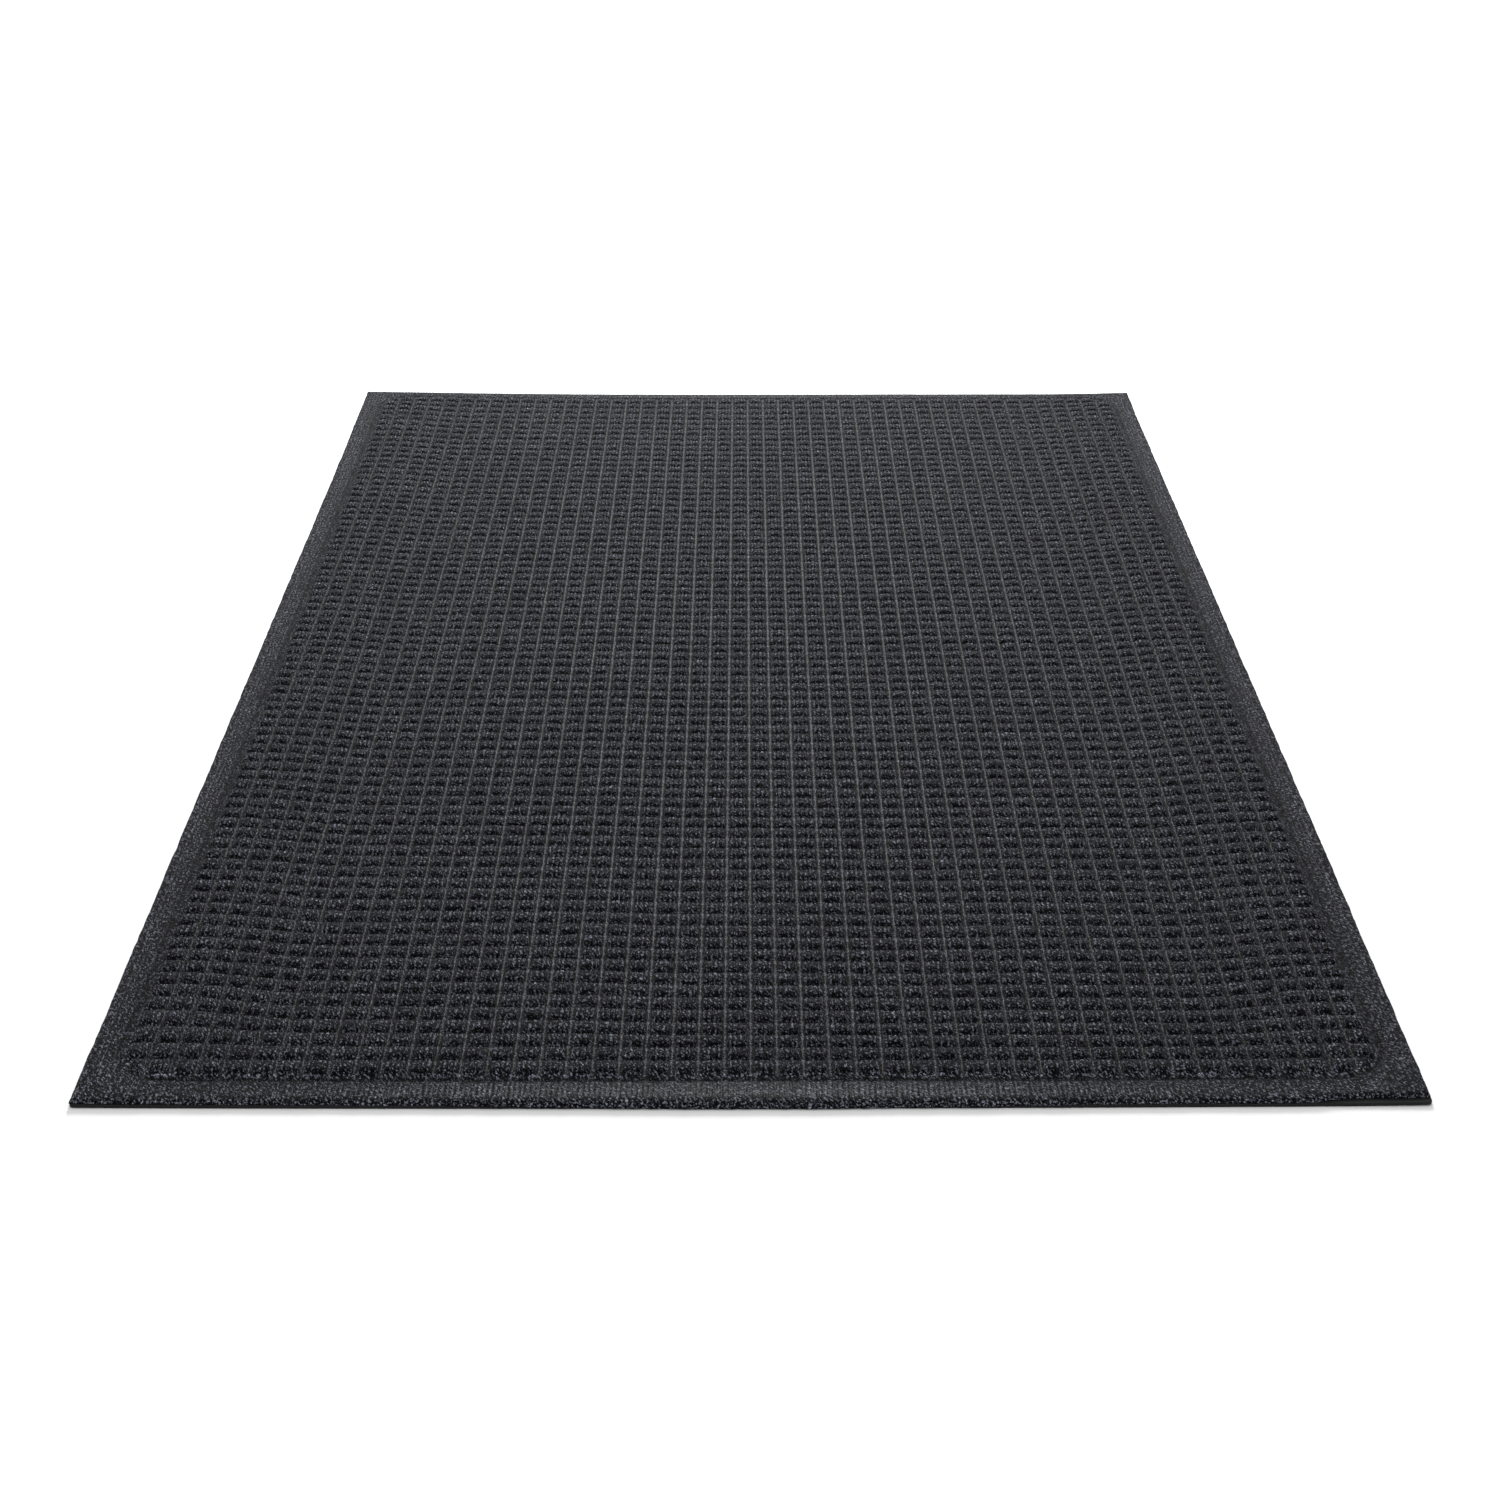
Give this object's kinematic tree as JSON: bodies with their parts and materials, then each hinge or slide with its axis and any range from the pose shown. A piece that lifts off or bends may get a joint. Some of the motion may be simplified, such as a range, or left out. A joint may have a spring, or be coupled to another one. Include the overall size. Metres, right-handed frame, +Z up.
{
  "type": "door mat",
  "caption": "Rectangular entrance mat: ribbed fibre face pressed into rows of raised blocks inside a flat border, on a moulded rubber sheet with a thin lip.",
  "frame": {"origin": "centre of the underside, on the floor", "axes": "+X across the mat to its right-hand side, +Y along its length from the front edge to the back edge, +Z up"},
  "size_m": [0.9144, 1.524, 0.0093],
  "materials": {
    "face_fibre": "charcoal heathered needle-punched fibre, ribbed and hot-pressed",
    "latex": "dried latex film, dull",
    "backing_rubber": "moulded black rubber, fine matt texture"
  },
  "bodies": {
    "root": {"carpet_face": "face_fibre", "latex_coat": "latex", "rubber_backing": "backing_rubber"}
  },
  "joints": []
}
